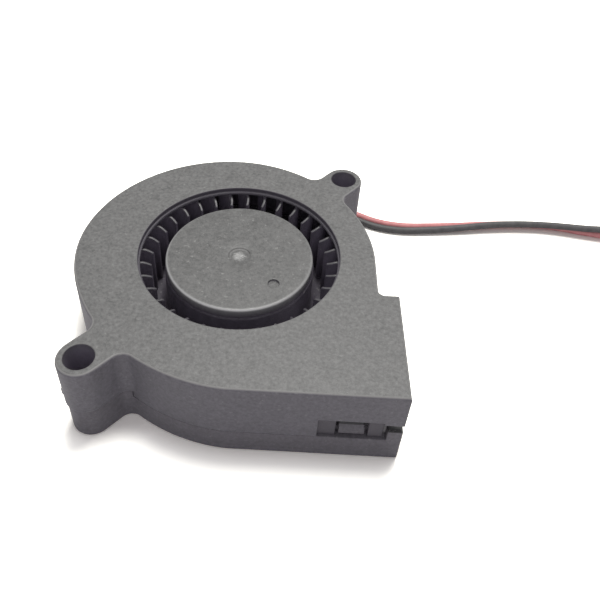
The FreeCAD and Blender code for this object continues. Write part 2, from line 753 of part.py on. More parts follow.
def build_connector():
    """Two-way crimp housing with its contacts."""
    width = plug_width / 2
    level = plug_height / 2
    shell = block(0, plug_length, -width, width, 0, plug_height)
    ends = [e for e in shell.Edges if e.BoundBox.XLength > plug_length / 2]
    shell = shell.makeFillet(plug_edge, ends)
    inner = width - rib_inset
    rib = block(plug_back, plug_length - plug_back, -inner, inner, level, plug_height + rib_height)
    groove = block(0, plug_length, rib_wall - inner, inner - rib_wall, plug_height, plug_height + 1)
    shell = shell.fuse(rib.cut(groove))
    half = contact_width / 2
    core = half - contact_wall
    contact_end = plug_length - contact_recess
    contacts = []
    for side in (-1, 1):
        centre = side * plug_pitch / 2
        room = half + fit_gap
        pocket = block(plug_back, plug_length + 1, centre - room, centre + room, level - room, level + room)
        throat = Part.makeCylinder(lead_diameter / 2 + fit_gap, plug_back + 1, V(-0.5, centre, level), V(1, 0, 0))
        shell = shell.cut(pocket).cut(throat)
        contact = block(plug_back, contact_end, centre - half, centre + half, level - half, level + half)
        slot = block(plug_back + contact_back, plug_length, centre - core, centre + core, level - core, level + core)
        contacts.append(contact.cut(slot))
    shell.translate(plug_start)
    keep("connector_housing", shell)
    for number, contact in enumerate(contacts):
        contact.translate(plug_start)
        keep("connector_contact_%d" % (number + 1), contact)


os.makedirs("parts", exist_ok=True)
build_inlet_shell()
build_base_cover()
build_impeller()
build_rotor()
build_bearing()
build_stator()
build_board()
build_leads()
build_connector()
print(len(made), "sub-parts")
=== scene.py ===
import math

import bmesh
import bpy
from mathutils import Matrix, Vector, noise


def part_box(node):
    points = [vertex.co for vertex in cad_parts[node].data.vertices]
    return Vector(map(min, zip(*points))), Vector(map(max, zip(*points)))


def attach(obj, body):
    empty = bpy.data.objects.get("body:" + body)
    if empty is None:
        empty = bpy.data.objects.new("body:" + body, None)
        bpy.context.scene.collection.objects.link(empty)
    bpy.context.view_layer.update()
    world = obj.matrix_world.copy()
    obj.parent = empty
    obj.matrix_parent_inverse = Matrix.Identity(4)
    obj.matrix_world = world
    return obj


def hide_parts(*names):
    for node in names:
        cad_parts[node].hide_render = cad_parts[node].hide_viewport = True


MM = 0.001
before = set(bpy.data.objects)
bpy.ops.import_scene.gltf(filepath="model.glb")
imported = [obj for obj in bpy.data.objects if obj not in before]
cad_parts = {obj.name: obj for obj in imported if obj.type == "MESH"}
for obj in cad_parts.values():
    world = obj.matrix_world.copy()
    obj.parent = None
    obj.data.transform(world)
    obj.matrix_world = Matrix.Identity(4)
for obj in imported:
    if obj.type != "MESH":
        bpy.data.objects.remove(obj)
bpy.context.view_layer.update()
scene = bpy.context.scene

# Camera
# The photograph's own view, solved from the inlet, hub and lug circles. It looks down at
# 43 degrees from the front, with the blower above and left of the lens axis.
camera_target = Vector((5.34, 11.67, 7.5)) * MM
camera_distance = 126.2 * MM
camera_azimuth = math.radians(0.66)
camera_elevation = math.radians(42.73)
camera_roll = math.radians(-2.56)

look = Vector((-math.sin(camera_azimuth) * math.cos(camera_elevation),
               math.cos(camera_azimuth) * math.cos(camera_elevation), -math.sin(camera_elevation)))
level = Vector((math.cos(camera_azimuth), math.sin(camera_azimuth), 0))
above = level.cross(look)
rightwards = level * math.cos(camera_roll) - above * math.sin(camera_roll)
upwards = level * math.sin(camera_roll) + above * math.cos(camera_roll)
lens = bpy.data.cameras.new("camera")
lens.sensor_width = 36
lens.lens = 41.71
lens.shift_x = 0.0434
lens.shift_y = -0.1037
lens.clip_start = 0.005
camera = bpy.data.objects.new("camera", lens)
camera.matrix_world = (Matrix.Translation(camera_target - look * camera_distance)
                       @ Matrix((rightwards, upwards, -look)).transposed().to_4x4())
scene.collection.objects.link(camera)
scene.camera = camera


# Leads
# A red and a black stranded lead in soft vinyl, soldered under the circuit board. They leave
# the base through its channel, pass behind the rear lug and lie along the table to a coil.
lead_diameter = 1.3 * MM
red_route = (
    (-1.69, 9.39, 1.72), (2.51, 13.59, 0.95), (10.11, 21.19, 0.95), (18.35, 29.4, 0.66),
    (27.5, 24.1, 0.66), (40.0, 25.2, 0.66), (50.5, 26.75, 0.66), (60.0, 27.25, 0.66),
    (70.0, 24.9, 0.7), (78.0, 24.15, 0.8),
)
black_route = (
    (-0.71, 8.41, 1.72), (3.49, 12.61, 0.95), (11.09, 20.21, 0.95), (18.45, 27.6, 0.66),
    (27.2, 22.65, 0.66), (39.8, 23.85, 1.0), (50.3, 25.7, 1.6), (59.8, 26.2, 1.6),
    (70.0, 24.4, 2.4), (78.0, 24.15, 3.5),
)
red_tail = ((88.0, 24.15, 2.18), (92.2, 24.75, 2.3), (96.9, 25.15, 2.3))
black_tail = ((88.0, 24.15, 4.88), (92.2, 23.55, 3.2), (96.9, 23.15, 2.3))
red_coil_bottom = 0.15
black_coil_bottom = 2.85
coil_centre = (83.0, 32.35)
coil_radii = (8.2, 6.85, 6.85, 8.2)
coil_levels = (0, 0, 1.35, 1.35)
turn_points = 16
turn_crossing = 0.78
climb_crossing = 0.45
crossing_length = 0.2


def coil_turns(bottom):
    """Points of four turns in two layers, tangent to the lead's way in and out."""
    swell = 1 / math.cos(math.pi / turn_points)
    last = len(coil_radii) - 1
    points = []
    for turn in range(last + 1):
        ahead = min(turn + 1, last)
        crossing = climb_crossing if turn == 1 else turn_crossing
        for step in range(turn_points):
            part = step / turn_points
            share = min(1, max(0, (part - crossing) / crossing_length))
            radius = coil_radii[turn] + (coil_radii[ahead] - coil_radii[turn]) * share
            height = coil_levels[turn] + (coil_levels[ahead] - coil_levels[turn]) * share
            angle = math.radians(360 * part - 90)
            points.append((coil_centre[0] + radius * swell * math.cos(angle),
                           coil_centre[1] + radius * swell * math.sin(angle), bottom + height))
    return points


def lay_lead(name, route, coil_bottom, tail):
    """One lead as a smooth round cord through its route, its coil and its end."""
    points = list(route) + coil_turns(coil_bottom + lead_diameter / MM / 2)[1:] + list(tail)
    line = bpy.data.curves.new(name, "CURVE")
    line.dimensions = "3D"
    line.bevel_depth = lead_diameter / 2
    line.bevel_resolution = 5
    line.resolution_u = 10
    line.use_fill_caps = True
    spline = line.splines.new("NURBS")
    spline.points.add(len(points) - 1)
    for knot, (x, y, z) in zip(spline.points, points):
        knot.co = (x * MM, y * MM, z * MM, 1)
    spline.order_u = 3
    spline.use_endpoint_u = True
    lead = bpy.data.objects.new(name, line)
    scene.collection.objects.link(lead)
    return lead


def start_finish(name, roughness, metallic=0.0):
    """New finish with a bare surface shader, and what is needed to add nodes to it."""
    finish = bpy.data.materials.new(name)
    finish.use_nodes = True
    tree = finish.node_tree
    surface = tree.nodes["Principled BSDF"]
    surface.inputs["Roughness"].default_value = roughness
    surface.inputs["Metallic"].default_value = metallic
    return finish, tree, surface


def add_node(tree, kind, inputs=None, **settings):
    """New node with its settings, and a value or a link for each input that is given."""
    node = tree.nodes.new(kind)
    for name, value in settings.items():
        setattr(node, name, value)
    for name, given in (inputs or {}).items():
        if isinstance(given, bpy.types.NodeSocket):
            tree.links.new(given, node.inputs[name])
        else:
            node.inputs[name].default_value = given
    return node


def own_place(tree):
    """The piece's own coordinates, in metres."""
    return tree.nodes.new("ShaderNodeTexCoord").outputs["Object"]


def add_noise(tree, size, detail=3.0, roughness=0.6, stretch=None):
    """Noise with features of a size in metres, fixed to the piece."""
    place = own_place(tree)
    if stretch:
        turn, scale = stretch
        mapping = add_node(tree, "ShaderNodeMapping", {"Vector": place, "Rotation": turn, "Scale": scale})
        place = mapping.outputs["Vector"]
    return add_node(tree, "ShaderNodeTexNoise", {
        "Vector": place, "Scale": 1 / size, "Detail": detail, "Roughness": roughness}).outputs["Fac"]


def add_ramp(tree, source, low, high, low_colour, high_colour):
    """Colours between two levels of a pattern."""
    ramp = add_node(tree, "ShaderNodeValToRGB", {"Fac": source})
    ends = ramp.color_ramp.elements
    ends[0].position, ends[1].position = low, high
    ends[0].color, ends[1].color = (*low_colour, 1), (*high_colour, 1)
    return ramp.outputs[0]


def paint(tree, surface, source, low, high, low_colour, high_colour):
    """Colour a surface between two levels of a pattern."""
    shade = add_ramp(tree, source, low, high, low_colour, high_colour)
    tree.links.new(shade, surface.inputs["Base Color"])


def add_bump(tree, surface, source, depth, strength=1.0):
    """Relief of a depth in metres from a pattern, on top of any relief already there."""
    bump = add_node(tree, "ShaderNodeBump", {"Height": source, "Distance": depth, "Strength": strength})
    if surface.inputs["Normal"].links:
        tree.links.new(surface.inputs["Normal"].links[0].from_socket, bump.inputs["Normal"])
    tree.links.new(bump.outputs["Normal"], surface.inputs["Normal"])


def vinyl(name, dark, light):
    """Extruded vinyl: soft gloss, slight mottle and faint waviness."""
    finish, tree, surface = start_finish(name, 0.55)
    paint(tree, surface, add_noise(tree, 0.0012, 4), 0.35, 0.65, dark, light)
    add_bump(tree, surface, add_noise(tree, 0.0006), 0.00003, 0.5)
    return finish


red_lead = lay_lead("lead_red", red_route, red_coil_bottom, red_tail)
black_lead = lay_lead("lead_black", black_route, black_coil_bottom, black_tail)
red_lead.data.materials.append(vinyl("red_vinyl", (0.52, 0.185, 0.19), (0.64, 0.26, 0.26)))
black_lead.data.materials.append(vinyl("black_vinyl", (0.052, 0.05, 0.051), (0.08, 0.077, 0.078)))


# Coil tie
# A thin moulded strap of black nylon, pulled tight round the two coils and locked in its own
# head, which lies on their outside.
tie_width = 2.2 * MM
tie_thickness = 0.14 * MM
tie_corner = 0.7 * MM
tie_steps = 6
tie_inner, tie_outer = 6.2 * MM, 8.85 * MM
tie_low, tie_high = 0.15 * MM, 5.55 * MM
tie_floor = 0.01 * MM
tie_head = Vector((3.4, 1.5, 2.9)) * MM
tie_head_place = Vector((0, 9.45, 3.0)) * MM
tie_head_edge = 0.35 * MM
tie_turn = math.radians(-40)


def strap_loop(inner, outer, low, high):
    """Closed rounded loop in radius and height round the coils' section."""
    points = []
    corners = ((outer, high, 0), (inner, high, 90), (inner, low, 180), (outer, low, 270))
    for r, z, first in corners:
        for step in range(tie_steps + 1):
            angle = math.radians(first + 90 * step / tie_steps)
            cr = r - tie_corner if first in (0, 270) else r + tie_corner
            cz = z - tie_corner if first in (0, 90) else z + tie_corner
            points.append((cr + tie_corner * math.cos(angle), cz + tie_corner * math.sin(angle)))
    return points


tie = bmesh.new()
outside = strap_loop(tie_inner - tie_thickness, tie_outer + tie_thickness,
                     tie_floor, tie_high + tie_thickness)
inside = strap_loop(tie_inner, tie_outer, tie_low, tie_high)
rows = []
for side in (-1, 1):
    for loop in (outside, inside):
        rows.append([tie.verts.new((side * tie_width / 2, r, z)) for r, z in loop])
for a, b in ((0, 2), (2, 3), (3, 1), (1, 0)):
    for k in range(len(rows[0])):
        n = (k + 1) % len(rows[0])
        tie.faces.new((rows[a][k], rows[b][k], rows[b][n], rows[a][n]))
head = bmesh.ops.create_cube(tie, size=1)["verts"]
bmesh.ops.scale(tie, vec=tie_head, verts=head)
bmesh.ops.translate(tie, vec=tie_head_place, verts=head)
head_edges = [edge for edge in tie.edges if all(vert in head for vert in edge.verts)]
bmesh.ops.bevel(tie, geom=head_edges, offset=tie_head_edge, segments=2, affect="EDGES", profile=0.5)
bmesh.ops.recalc_face_normals(tie, faces=tie.faces)
bmesh.ops.transform(tie, matrix=Matrix.Translation((coil_centre[0] * MM, coil_centre[1] * MM, 0))
                    @ Matrix.Rotation(tie_turn, 4, "Z"), verts=tie.verts)
tie_mesh = bpy.data.meshes.new("coil_tie")
tie.to_mesh(tie_mesh)
tie.free()
coil_tie = bpy.data.objects.new("coil_tie", tie_mesh)
scene.collection.objects.link(coil_tie)


def mottled(name, roughness, metallic, dark, light, drift, grain, spread=0.2):
    """Finish whose colour drifts between two tones, with a finer grain, both sizes in metres."""
    finish, tree, surface = start_finish(name, roughness, metallic)
    paint(tree, surface, add_noise(tree, drift), 0.5 - spread, 0.5 + spread, dark, light)
    add_bump(tree, surface, add_noise(tree, grain), 0.00001)
    return finish


tie_mesh.materials.append(
    mottled("black_nylon", 0.38, 0.0, (0.018, 0.018, 0.019), (0.035, 0.035, 0.036), 0.0015, 0.0004, 0.15))
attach(coil_tie, "housing")

# The leads' own lines stand here, because the red lead carries the tie.
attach(red_lead, "housing")
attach(black_lead, "housing")
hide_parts("red_lead", "red_lead_coil", "red_lead_end")
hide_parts("black_lead", "black_lead_coil", "black_lead_end")


# Connector
# A two-way housing moulded in natural nylon, with tinned contacts crimped on the leads' ends.
# The motor's winding pins are tinned alike.
def dress(finish, *nodes):
    """Give carried-over pieces their finish."""
    for node in nodes:
        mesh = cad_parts[node].data
        mesh.materials.clear()
        mesh.materials.append(finish)


natural_nylon = mottled("natural_nylon", 0.36, 0.0, (0.66, 0.64, 0.57), (0.76, 0.74, 0.67), 0.003, 0.0005)
nylon_surface = natural_nylon.node_tree.nodes["Principled BSDF"]
nylon_surface.inputs["Subsurface Weight"].default_value = 0.15
nylon_surface.inputs["Subsurface Radius"].default_value = (0.001, 0.0009, 0.0007)
tinned = mottled("tinned_brass", 0.3, 1.0, (0.58, 0.57, 0.54), (0.78, 0.77, 0.73), 0.0008, 0.0002)
dress(natural_nylon, "connector_housing")
dress(tinned, "connector_contact_1", "connector_contact_2", "terminal_pins")


# Base cover
# The lower moulding in black glass-filled plastic, spark-eroded to a fine matte grain, with
# the floor, the leads' channel and the snap tabs. Its purple tint is painted, for the tint of
# the shade on its walls. The top of its corner notch and the tip of its front tab are painted
# dark, as painted shade.
# Own dark tone, with a purple tint painted in for the tint of shade on the walls.
base_colour = (0.118, 0.111, 0.123)
notch_levels = (6.72 * MM, 6.78 * MM)
# Painted shade on the notch's top and on the front tab's tip.
notch_shade = (0.02, 0.019, 0.021)
tab_shade = (0.016, 0.015, 0.017)
# Painted fill light: hollows are painted a paler purple grey, standing in for light that does not reach
# them.
hollow_fill_colour = (0.30, 0.27, 0.34)
hollow_fill_reach = 8 * MM
hollow_fill_heights = (4 * MM, 10 * MM)
speck_colour = (0.30, 0.30, 0.29)
edge_radius = 0.25 * MM
# Painted highlight on the rounding just below a top face.
edge_highlight_from, edge_highlight_to = 0.14 * MM, 0.08 * MM
edge_highlight_share = 0.8
grain_size, cloud_size, speck_size, scuff_size = 0.00055, 0.0024, 0.0006, 0.0011
scuff_stretch = ((0.3, 0.1, 0.7), (1.0, 0.07, 1.0))
grain_levels = (0.45, 0.95)
cloud_levels = (0.3, 0.7)
speck_levels = (0.66, 0.74)
scuff_levels = (0.68, 0.76)
hollow_levels = (0.05, 0.55)


def add_math(tree, operation, *values):
    """Result of an operation on values or links."""
    return add_node(tree, "ShaderNodeMath", dict(enumerate(values)), operation=operation).outputs[0]


def add_mix(tree, share, first, second):
    """Mix of two colours or links by a share."""
    first, second = ((*side, 1) if isinstance(side, tuple) else side for side in (first, second))
    return add_node(tree, "ShaderNodeMixRGB", {"Fac": share, "Color1": first, "Color2": second}).outputs[0]


def add_share(tree, value, low, high, start=0, end=1):
    """Even change from start to end while a value goes from low to high."""
    span = add_node(tree, "ShaderNodeMapRange", {
        "Value": value, "From Min": low, "From Max": high, "To Min": start, "To Max": end})
    return span.outputs["Result"]


def scaled(colour, share):
    """A colour made darker or paler."""
    return [share * part for part in colour]


def moulded(name, colour, roughness, grain_depth, specks, face=None, hollow_fill=0.0):
    """Matte black moulding seen in bright light: grain, flow clouds, specks and fine scuffs.

    A flat face that starts between two levels takes its own colour and contrast, its colour
    painting it lighter or darker than the rest as painted light and shade, and may have a
    painted highlight along the edge just below it. Painted fill light pales the shaded
    hollows, less so near the base.
    """
    finish, tree, surface = start_finish(name, roughness)
    grain = add_noise(tree, grain_size, 5, 0.75)
    clouds = add_noise(tree, cloud_size, 6, 0.75)
    speck = add_noise(tree, speck_size, 2, 0.5)
    scuff = add_noise(tree, scuff_size, 4, 0.7, scuff_stretch)
    pattern = add_math(tree, "MULTIPLY_ADD", clouds, 0.4, grain)
    height = add_node(tree, "ShaderNodeSeparateXYZ", {"Vector": own_place(tree)}).outputs["Z"]
    shade = add_ramp(tree, pattern, *grain_levels, scaled(colour, 0.7), scaled(colour, 1.3))
    if face:
        low, high, face_colour, contrast, edge_highlight_colour = face
        coarse = add_ramp(tree, pattern, *grain_levels, scaled(face_colour, 1 - contrast),
                          scaled(face_colour, 1 + contrast))
        # Painted highlight: a paler band on the rounded edge just below the face.
        if edge_highlight_colour:
            edge_highlight = add_share(tree, height, low - edge_highlight_from, low - edge_highlight_to, 0, edge_highlight_share)
            shade = add_mix(tree, edge_highlight, shade, edge_highlight_colour)
        shade = add_mix(tree, add_share(tree, height, low, high), shade, coarse)
    # Painted fill light: paler where the AO finds hollows, less so low down near the base.
    if hollow_fill:
        hollow = add_node(tree, "ShaderNodeAmbientOcclusion", {"Distance": hollow_fill_reach}, samples=8)
        fill_share = add_math(tree, "MULTIPLY", add_share(tree, hollow.outputs["AO"], *hollow_levels, hollow_fill, 0),
                           add_share(tree, height, *hollow_fill_heights, 0.3, 1))
        shade = add_mix(tree, fill_share, shade, hollow_fill_colour)
    for marks, levels, amount in ((speck, speck_levels, specks), (scuff, scuff_levels, specks * 0.7)):
        shade = add_mix(tree, add_share(tree, marks, *levels, 0, amount), shade, speck_colour)
    tree.links.new(shade, surface.inputs["Base Color"])
    tree.links.new(add_share(tree, clouds, *cloud_levels, roughness - 0.08, roughness + 0.08),
                   surface.inputs["Roughness"])
    rounded = add_node(tree, "ShaderNodeBevel", {"Radius": edge_radius}, samples=6)
    tree.links.new(rounded.outputs["Normal"], surface.inputs["Normal"])
    add_bump(tree, surface, grain, grain_depth)
    return finish


def change_colour(finish, share, first, second):
    """Mix a colour into a finish, whose present colour stands where None is given."""
    tree = finish.node_tree
    surface = tree.nodes["Principled BSDF"]
    present = surface.inputs["Base Color"].links[0].from_socket
    mixed = add_mix(tree, share, first or present, second or present)
    tree.links.new(mixed, surface.inputs["Base Color"])


def shade_patch(finish, centre, reach, colour):
    """Paint a darker colour as painted shade in an oval round a centre, both in millimetres."""
    tree = finish.node_tree
    place = add_node(tree, "ShaderNodeMapping", {
        "Vector": own_place(tree), "Location": [-c / r for c, r in zip(centre, reach)],
        "Scale": [1 / (r * MM) for r in reach]})
    oval = add_node(tree, "ShaderNodeTexGradient", {"Vector": place.outputs["Vector"]},
                    gradient_type="SPHERICAL")
    change_colour(finish, add_share(tree, oval.outputs["Fac"], 0, 0.06), None, colour)


# The notch's top takes the painted shade as its face colour.
base_plastic = moulded("base_plastic", base_colour, roughness=0.5, grain_depth=0.00003, specks=0.25,
                       face=(*notch_levels, notch_shade, 0.4, None))
# Painted shade on the front tab's tip, above the snap nub.
shade_patch(base_plastic, centre=(18.05, -25.3, 7.0), reach=(5.0, 0.56, 0.68), colour=tab_shade)
dress(base_plastic, "base_cover")


# Bearing
# A brass tube pressed into the base's boss, with an oil-soaked sintered sleeve, a nylon
# wear plate under the shaft and a nylon washer over the sleeve.
def metal(name, dark, light, roughness, size, stretch=None):
    """Machined or plated metal between two tones, with tool marks of a size in metres."""
    finish, tree, surface = start_finish(name, roughness, 1.0)
    marks = add_noise(tree, size, 4, 0.65, stretch)
    paint(tree, surface, marks, 0.3, 0.7, dark, light)
    add_bump(tree, surface, marks, 0.00001)
    return finish


level_marks = ((0, 0, 0), (0.15, 0.15, 3.0))
brass = metal("turned_brass", (0.52, 0.38, 0.16), (0.72, 0.57, 0.30), 0.28, 0.0006, level_marks)
sintered = metal("sintered_bronze", (0.20, 0.13, 0.07), (0.42, 0.31, 0.19), 0.55, 0.0002)
dress(brass, "bearing_tube", "shaft_bush")
dress(sintered, "sleeve_bearing")
dress(natural_nylon, "thrust_plate", "oil_washer")


# Stator
# A stack of stamped silicon-steel sheets with four poles, a moulded insulator above and
# below it, and enamelled copper wire wound round each pole. The outer turns stand half out
# of the wound mass.
layer_scale = 630
sheets, tree, surface = start_finish("lamination_steel", 0.45, 1.0)
layers = add_node(tree, "ShaderNodeTexWave", {
    "Vector": own_place(tree), "Scale": layer_scale, "Distortion": 0.4}, bands_direction="Z").outputs["Fac"]
paint(tree, surface, layers, 0.1, 0.6, (0.12, 0.12, 0.13), (0.38, 0.39, 0.41))
add_bump(tree, surface, layers, 0.00004)
dress(sheets, "stator_core")
insulator_plastic = moulded("insulator_plastic", (0.03, 0.03, 0.032), 0.5, 0.00001, 0.1)
dress(insulator_plastic, "bobbin_upper", "bobbin_lower")

wire_diameter = 0.26 * MM
winding_corner = 0.88 * MM


def start_shape(name, sockets):
    """New geometry tree with its named inputs and its output."""
    tree = bpy.data.node_groups.new(name, "GeometryNodeTree")
    for title, kind in sockets.items():
        tree.interface.new_socket(name=title, in_out="INPUT", socket_type="NodeSocket" + kind)
    tree.interface.new_socket(name="Geometry", in_out="OUTPUT", socket_type="NodeSocketGeometry")
    return tree, tree.nodes.new("NodeGroupInput").outputs


def end_shape(tree, copies, finish):
    """Turn a tree's copies into plain mesh with a finish, as its result."""
    solid = add_node(tree, "GeometryNodeRealizeInstances", {"Geometry": copies.outputs["Instances"]})
    dressed = add_node(tree, "GeometryNodeSetMaterial", {
        "Geometry": solid.outputs["Geometry"], "Material": finish})
    add_node(tree, "NodeGroupOutput", {"Geometry": dressed.outputs["Geometry"]})


def wire_tree():
    """Turns of wire in line along a pole, each a rounded loop round the insulator."""
    tree, given = start_shape("pole_winding", {
        "Turns": "Int", "Pitch": "Float", "Half width": "Float", "Half height": "Float",
        "Corner": "Float", "Wire": "Float", "Finish": "Material"})
    loop = add_node(tree, "GeometryNodeCurvePrimitiveQuadrilateral", {
        "Width": add_math(tree, "MULTIPLY", given["Half height"], 2),
        "Height": add_math(tree, "MULTIPLY", given["Half width"], 2)})
    rounding = add_node(tree, "GeometryNodeFilletCurve", {
        "Curve": loop.outputs["Curve"], "Count": 5, "Radius": given["Corner"]}, mode="POLY")
    section = add_node(tree, "GeometryNodeCurvePrimitiveCircle", {"Resolution": 8, "Radius": given["Wire"]})
    tube = add_node(tree, "GeometryNodeCurveToMesh", {
        "Curve": rounding.outputs["Curve"], "Profile Curve": section.outputs["Curve"]})
    offset = add_node(tree, "ShaderNodeCombineXYZ", {"X": given["Pitch"]})
    row = add_node(tree, "GeometryNodeMeshLine", {
        "Count": given["Turns"], "Offset": offset.outputs["Vector"]})
    copies = add_node(tree, "GeometryNodeInstanceOnPoints", {
        "Points": row.outputs["Mesh"], "Instance": tube.outputs["Mesh"],
        "Rotation": (0, math.radians(90), 0)})
    end_shape(tree, copies, given["Finish"])
    return tree


def grow(piece, tree, values):
    """Run a geometry tree on a piece with named values and keep the result as its plain mesh."""
    modifier = piece.modifiers.new("shape", "NODES")
    modifier.node_group = tree
    for socket in tree.interface.items_tree:
        if socket.in_out == "INPUT" and socket.name in values:
            modifier[socket.identifier] = values[socket.name]
    ready = bpy.data.meshes.new_from_object(piece.evaluated_get(bpy.context.evaluated_depsgraph_get()))
    piece.modifiers.remove(modifier)
    piece.data = ready
    ready.name = piece.name
    return piece


def new_piece(name, mesh=None):
    """Piece at the origin, empty where no mesh is given."""
    piece = bpy.data.objects.new(name, mesh or bpy.data.meshes.new(name))
    scene.collection.objects.link(piece)
    return piece


enamel = mottled("enamelled_copper", 0.25, 1.0, (0.42, 0.15, 0.06), (0.66, 0.30, 0.14), 0.0009, 0.0003)
winding_nodes = ("winding_1", "winding_2", "winding_3", "winding_4")
winding_low, winding_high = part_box(winding_nodes[0])
wires = wire_tree()
turns = int((winding_high[0] - winding_low[0]) / wire_diameter)
for number, node in enumerate(winding_nodes):
    coil = grow(new_piece("wire_" + str(number + 1)), wires, {
        "Turns": turns, "Pitch": wire_diameter, "Wire": wire_diameter / 2, "Finish": enamel,
        "Half width": winding_high[1], "Half height": (winding_high[2] - winding_low[2]) / 2,
        "Corner": winding_corner})
    coil.data.transform(Matrix.Rotation(math.radians(90 * number), 4, "Z") @ Matrix.Translation(
        (winding_low[0] + wire_diameter / 2, 0, (winding_high[2] + winding_low[2]) / 2)))
    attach(coil, "housing")
dress(enamel, *winding_nodes)


# Circuit board
# A ring of green laminate under the motor, with etched tracks under its varnish. The driver
# chip and the small parts beside it are soldered to it.
track_scale = 330
board, tree, surface = start_finish("green_laminate", 0.33)
tracks = add_node(tree, "ShaderNodeTexVoronoi", {"Vector": own_place(tree), "Scale": track_scale},
                  feature="DISTANCE_TO_EDGE").outputs["Distance"]
paint(tree, surface, tracks, 0.10, 0.13, (0.02, 0.11, 0.045), (0.035, 0.2, 0.08))
add_bump(tree, surface, tracks, 0.00003)
dress(board, "driver_board")
chip_epoxy = moulded("chip_epoxy", (0.02, 0.02, 0.02), 0.45, 0.00001, 0.1)
dress(chip_epoxy, "hall_driver_ic", "chip_resistor", "reverse_diode")
ceramic = mottled("chip_ceramic", 0.5, 0.0, (0.34, 0.25, 0.16), (0.46, 0.36, 0.25), 0.0005, 0.0002)
dress(ceramic, "chip_capacitor")


# Rotor cup
# A zinc-plated drawn steel cup with the ferrite ring inside it, on a ground steel shaft
# that a spring ring keeps in the bearing.
yoke_steel = metal("yoke_steel", (0.40, 0.41, 0.43), (0.60, 0.61, 0.63), 0.32, 0.001, level_marks)
shaft_steel = metal("shaft_steel", (0.52, 0.52, 0.54), (0.70, 0.70, 0.72), 0.18, 0.0004, level_marks)
ferrite = moulded("ferrite_ring", (0.03, 0.03, 0.03), 0.6, 0.00002, 0.2)
dress(yoke_steel, "rotor_yoke")
dress(shaft_steel, "shaft", "retaining_ring")
dress(ferrite, "magnet_ring")


# Impeller
# One black moulding over the rotor cup: a hub, a flared plate, forward-curved blades and a
# ring that ties the blade tips. The hub has a well for the gate and a small round recess.
hub_radius = 12.0
hub_top = 14.0
hub_edge = 0.42
hub_step_level = 12.1
hub_step = 0.2
gate_well_radius = 1.6
gate_well_depth = 0.15
skirt_edge = 0.1
plate_low, plate_high = 3.1, 3.9
plate_fillet = 1.6
plate_edge = 0.15
cup_radius, cup_top = 11.0, 12.8
bush_radius, bush_top = 1.05, 13.35
wheel_radius = 19.35
rim_edge = 0.12
rim_size = 0.8
wheel_steps = 144
blade_count = 33
blade_inner, blade_outer = 14.3, 19.1
blade_thickness = 0.42
blade_stagger, blade_turn = 22.0, 76.0
blade_top = 13.2
blade_root = 0.3
blade_drop, blade_run = 0.6, 1.5
blade_edge = 0.09
blade_phase = 2.0
blade_stations = 12
sharp_angle = math.radians(40)
recess_place = Vector((5.8, -5.9, hub_top + 0.15)) * MM
recess_bottom, recess_top = 0.88 * MM, 1.0 * MM
recess_height = 1.0 * MM
# Where the painted highlight round the hub's top edge lies.
hub_highlight_inset, hub_highlight_reach, hub_highlight_depth = 0.16, 0.3, 0.5
smooth_limit = math.radians(32)
# Painted shade: below its top faces the wheel is painted this darker purple, its top faces the lighter
# wheel_face_colour.
impeller_shaded_colour = (0.05, 0.045, 0.055)
wheel_face_levels = (12.5 * MM, 13.6 * MM)
wheel_face_colour = (0.09, 0.09, 0.0885)


def arc_points(cx, cz, radius, first, last, steps):
    """Points along an arc in radius and height."""
    angles = [math.radians(first + (last - first) * k / steps) for k in range(steps + 1)]
    return [(cx + radius * math.cos(a), cz + radius * math.sin(a)) for a in angles]


def turn_profile(mesh, profile):
    """Turn a closed outline of radius and height, in millimetres, round the rotor axis."""
    rings = []
    for k in range(wheel_steps):
        angle = 2 * math.pi * k / wheel_steps
        across, along = MM * math.cos(angle), MM * math.sin(angle)
        rings.append([mesh.verts.new((r * across, r * along, z * MM)) for r, z in profile])
    for k in range(wheel_steps):
        here, there = rings[k], rings[(k + 1) % wheel_steps]
        for n in range(len(profile)):
            m = (n + 1) % len(profile)
            mesh.faces.new((here[n], there[n], there[m], here[m]))


def wheel_body():
    """Hub, flared plate and tip ring."""
    mesh = bmesh.new()
    wide = hub_radius + hub_step
    well = hub_top - gate_well_depth
    hub = [(0.0, well), (gate_well_radius, well), (gate_well_radius + 0.14, well + 0.03)]
    hub += arc_points(gate_well_radius + 0.26, hub_top - 0.1, 0.1, 170, 90, 3)
    hub += [(4.0, hub_top), (8.0, hub_top), (hub_radius - hub_edge - 0.2, hub_top)]
    hub += arc_points(hub_radius - hub_edge, hub_top - hub_edge, hub_edge, 90, 0, 7)
    hub += [(hub_radius, hub_step_level + hub_step + 0.06)]
    hub += arc_points(wide - skirt_edge, hub_step_level - 0.03, skirt_edge, 50, 0, 3)
    hub += arc_points(wide + plate_fillet, plate_high + plate_fillet, plate_fillet, 180, 270, 10)
    hub += arc_points(wheel_radius - plate_edge, plate_high - plate_edge, plate_edge, 90, 0, 3)
    hub += arc_points(wheel_radius - plate_edge, plate_low + plate_edge, plate_edge, 0, -90, 3)
    hub += [(cup_radius, plate_low), (cup_radius, cup_top), (bush_radius, cup_top)]
    hub += [(bush_radius, bush_top), (0.0, bush_top)]
    turn_profile(mesh, hub)
    outer, top = wheel_radius - rim_edge, blade_top - rim_edge
    inner, low = wheel_radius - rim_size + rim_edge, blade_top - rim_size + rim_edge
    tip = []
    for cx, cz, first in ((outer, top, 0), (inner, top, 90), (inner, low, 180), (outer, low, 270)):
        tip += arc_points(cx, cz, rim_edge, first, first + 90, 3)
    turn_profile(mesh, tip)
    bmesh.ops.remove_doubles(mesh, verts=mesh.verts, dist=0.001 * MM)
    bmesh.ops.recalc_face_normals(mesh, faces=mesh.faces)
    data = bpy.data.meshes.new("wheel_body")
    mesh.to_mesh(data)
    mesh.free()
    return data


def is_sharp(edge):
    """Whether an edge of a blade is sharp and stands upright or lies above the plate."""
    low, high = sorted(vert.co.z for vert in edge.verts)
    return edge.calc_face_angle(0) > sharp_angle and (low > plate_high * MM or high - low > 2 * MM)


